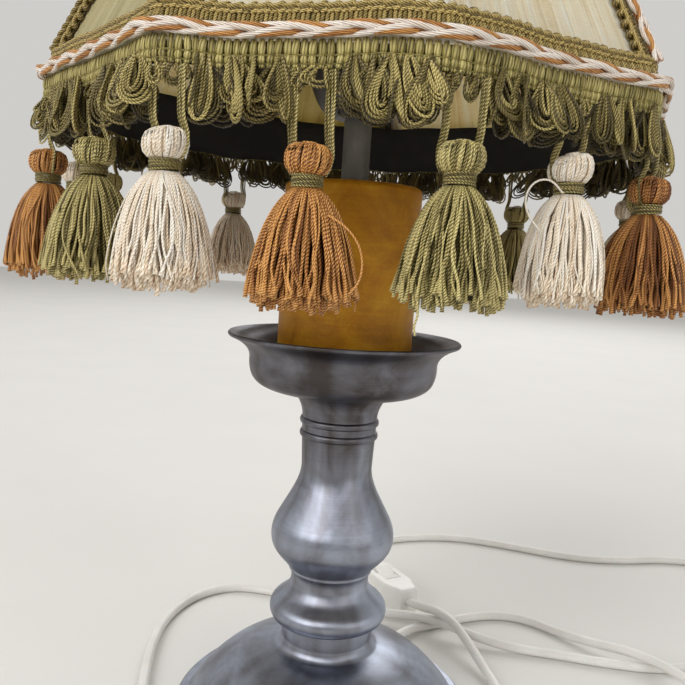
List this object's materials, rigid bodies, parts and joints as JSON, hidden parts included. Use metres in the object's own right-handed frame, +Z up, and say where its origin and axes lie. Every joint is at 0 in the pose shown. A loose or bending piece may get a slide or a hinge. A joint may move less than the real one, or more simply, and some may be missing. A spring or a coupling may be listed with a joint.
{
  "type": "candlestick lamp",
  "caption": "Table lamp on a turned pewter candlestick with drip pan and pillar candle; nine-sided fabric shade with braid, loop fringe and swinging tassels; mains lead with switch.",
  "frame": {"origin": "middle of the foot's underside, on the table", "axes": "+Z up along the stem, -Y towards the viewer of the picture, +X to its right"},
  "size_m": [0.5494, 0.4336, 0.491],
  "materials": {
    "felt": "dark green felt",
    "iron": "rough cast",
    "pewter": "lathe-brushed pewter",
    "grommet_rubber": "matte",
    "steel": "zinc plated",
    "wax": "mottled amber wax",
    "grey_tube": "grey painted tube",
    "holder_plastic": "black bakelite",
    "ceramic": "matte ceramic",
    "brass": "plain",
    "bulb_metal": "plain",
    "bulb_glass": "frosted",
    "wire": "black coated wire",
    "olive_silk": "olive woven fabric",
    "cream_silk": "crinkled cream silk",
    "olive_braid": "woven scroll gimp",
    "plait": "white and copper plait",
    "fringe_yarn": "olive loop fringe",
    "yarn_olive": "olive rayon yarn",
    "yarn_white": "off-white rayon yarn",
    "yarn_copper": "copper rayon yarn",
    "white_pvc": "soft PVC",
    "white_plastic": "moulded",
    "pin_metal": "nickel plated"
  },
  "bodies": {
    "candlestick": {"base_felt": "felt", "base_weight": "iron", "base_shell": "pewter", "cord_grommet": "grommet_rubber", "stem_knop": "pewter", "stem_baluster": "pewter", "stem_neck": "pewter", "drip_pan": "pewter", "stem_rod": "steel", "rod_nuts": "steel", "candle": "wax", "riser_tube": "grey_tube", "socket_cup": "pewter", "lampholder_shell": "holder_plastic", "lampholder_core": "ceramic", "lampholder_contacts": "brass", "inner_lead": "white_pvc", "mains_lead_lamp": "white_pvc", "mains_lead_plug": "white_pvc", "switch_base": "white_plastic", "switch_cover": "white_plastic", "switch_screws": "steel", "plug_body": "white_plastic", "plug_pins": "pin_metal", "shade_ring_nut": "holder_plastic"},
    "shade": {"shade_frame": "wire", "shade_spider": "wire", "shade_panels_olive": "olive_silk", "shade_panels_cream": "cream_silk", "gimp_band": "olive_braid", "braid_cord": "plait", "rib_trims": "olive_braid", "top_trim": "olive_braid", "fringe_header": "fringe_yarn", "loop_fringe": "fringe_yarn"},
    "bulb": {"bulb_cap": "bulb_metal", "bulb_glass": "bulb_glass"},
    "rocker": {"switch_rocker": "white_plastic"},
    "tassel_01": {"tassel_01": "yarn_olive"},
    "tassel_02": {"tassel_02": "yarn_white"},
    "tassel_03": {"tassel_03": "yarn_copper"},
    "tassel_04": {"tassel_04": "yarn_olive"},
    "tassel_05": {"tassel_05": "yarn_white"},
    "tassel_06": {"tassel_06": "yarn_copper"},
    "tassel_07": {"tassel_07": "yarn_olive"},
    "tassel_08": {"tassel_08": "yarn_white"},
    "tassel_09": {"tassel_09": "yarn_copper"},
    "tassel_10": {"tassel_10": "yarn_olive"},
    "tassel_11": {"tassel_11": "yarn_white"},
    "tassel_12": {"tassel_12": "yarn_copper"},
    "tassel_13": {"tassel_13": "yarn_olive"},
    "tassel_14": {"tassel_14": "yarn_white"},
    "tassel_15": {"tassel_15": "yarn_copper"},
    "tassel_16": {"tassel_16": "yarn_olive"},
    "tassel_17": {"tassel_17": "yarn_white"},
    "tassel_18": {"tassel_18": "yarn_copper"}
  },
  "joints": [
    {"name": "shade_turn", "type": "hinge", "parent": "candlestick", "child": "shade", "pos_m": [0, 0, 0.3527], "axis": [0, 0, 1], "continuous": true},
    {"name": "bulb_turn", "type": "hinge", "parent": "candlestick", "child": "bulb", "pos_m": [0, 0, 0.366], "axis": [0, 0, 1], "continuous": true},
    {"name": "rocker_press", "type": "hinge", "parent": "candlestick", "child": "rocker", "pos_m": [0.043, 0.15, 0.013], "axis": [-0.866, -0.5, 0], "range_deg": [0, 16]},
    {"name": "tassel_01_swing", "type": "hinge", "parent": "shade", "child": "tassel_01", "pos_m": [0.03373, -0.14157, 0.3108], "axis": [0.9728, 0.2317, 0], "range_deg": [-25, 10]},
    {"name": "tassel_02_swing", "type": "hinge", "parent": "shade", "child": "tassel_02", "pos_m": [0.07648, -0.11598, 0.3108], "axis": [0.8348, 0.5505, 0], "range_deg": [-25, 10]},
    {"name": "tassel_03_swing", "type": "hinge", "parent": "shade", "child": "tassel_03", "pos_m": [0.11683, -0.08677, 0.3108], "axis": [0.5962, 0.8028, 0], "range_deg": [-25, 10]},
    {"name": "tassel_04_swing", "type": "hinge", "parent": "shade", "child": "tassel_04", "pos_m": [0.13314, -0.03969, 0.3108], "axis": [0.2857, 0.9583, 0], "range_deg": [-25, 10]},
    {"name": "tassel_05_swing", "type": "hinge", "parent": "shade", "child": "tassel_05", "pos_m": [0.14527, 0.00863, 0.3108], "axis": [-0.0593, 0.9982, 0], "range_deg": [-25, 10]},
    {"name": "tassel_06_swing", "type": "hinge", "parent": "shade", "child": "tassel_06", "pos_m": [0.1275, 0.05517, 0.3108], "axis": [-0.3971, 0.9178, 0], "range_deg": [-25, 10]},
    {"name": "tassel_07_swing", "type": "hinge", "parent": "shade", "child": "tassel_07", "pos_m": [0.10574, 0.09999, 0.3108], "axis": [-0.6871, 0.7266, 0], "range_deg": [-25, 10]},
    {"name": "tassel_08_swing", "type": "hinge", "parent": "shade", "child": "tassel_08", "pos_m": [0.06221, 0.12422, 0.3108], "axis": [-0.8942, 0.4478, 0], "range_deg": [-25, 10]},
    {"name": "tassel_09_swing", "type": "hinge", "parent": "shade", "child": "tassel_09", "pos_m": [0.01673, 0.14456, 0.3108], "axis": [-0.9934, 0.1149, 0], "range_deg": [-25, 10]},
    {"name": "tassel_10_swing", "type": "hinge", "parent": "shade", "child": "tassel_10", "pos_m": [-0.0322, 0.13514, 0.3108], "axis": [-0.9728, -0.2317, 0], "range_deg": [-25, 10]},
    {"name": "tassel_11_swing", "type": "hinge", "parent": "shade", "child": "tassel_11", "pos_m": [-0.08011, 0.12149, 0.3108], "axis": [-0.8348, -0.5505, 0], "range_deg": [-25, 10]},
    {"name": "tassel_12_swing", "type": "hinge", "parent": "shade", "child": "tassel_12", "pos_m": [-0.11153, 0.08283, 0.3108], "axis": [-0.5962, -0.8028, 0], "range_deg": [-25, 10]},
    {"name": "tassel_13_swing", "type": "hinge", "parent": "shade", "child": "tassel_13", "pos_m": [-0.13946, 0.04158, 0.3108], "axis": [-0.2857, -0.9583, 0], "range_deg": [-25, 10]},
    {"name": "tassel_14_swing", "type": "hinge", "parent": "shade", "child": "tassel_14", "pos_m": [-0.13868, -0.00824, 0.3108], "axis": [0.0593, -0.9982, 0], "range_deg": [-25, 10]},
    {"name": "tassel_15_swing", "type": "hinge", "parent": "shade", "child": "tassel_15", "pos_m": [-0.13356, -0.0578, 0.3108], "axis": [0.3971, -0.9178, 0], "range_deg": [-25, 10]},
    {"name": "tassel_16_swing", "type": "hinge", "parent": "shade", "child": "tassel_16", "pos_m": [-0.10094, -0.09545, 0.3108], "axis": [0.6871, -0.7266, 0], "range_deg": [-25, 10]},
    {"name": "tassel_17_swing", "type": "hinge", "parent": "shade", "child": "tassel_17", "pos_m": [-0.06516, -0.13012, 0.3108], "axis": [0.8942, -0.4478, 0], "range_deg": [-25, 10]},
    {"name": "tassel_18_swing", "type": "hinge", "parent": "shade", "child": "tassel_18", "pos_m": [-0.01597, -0.138, 0.3108], "axis": [0.9934, -0.1149, 0], "range_deg": [-25, 10]}
  ]
}
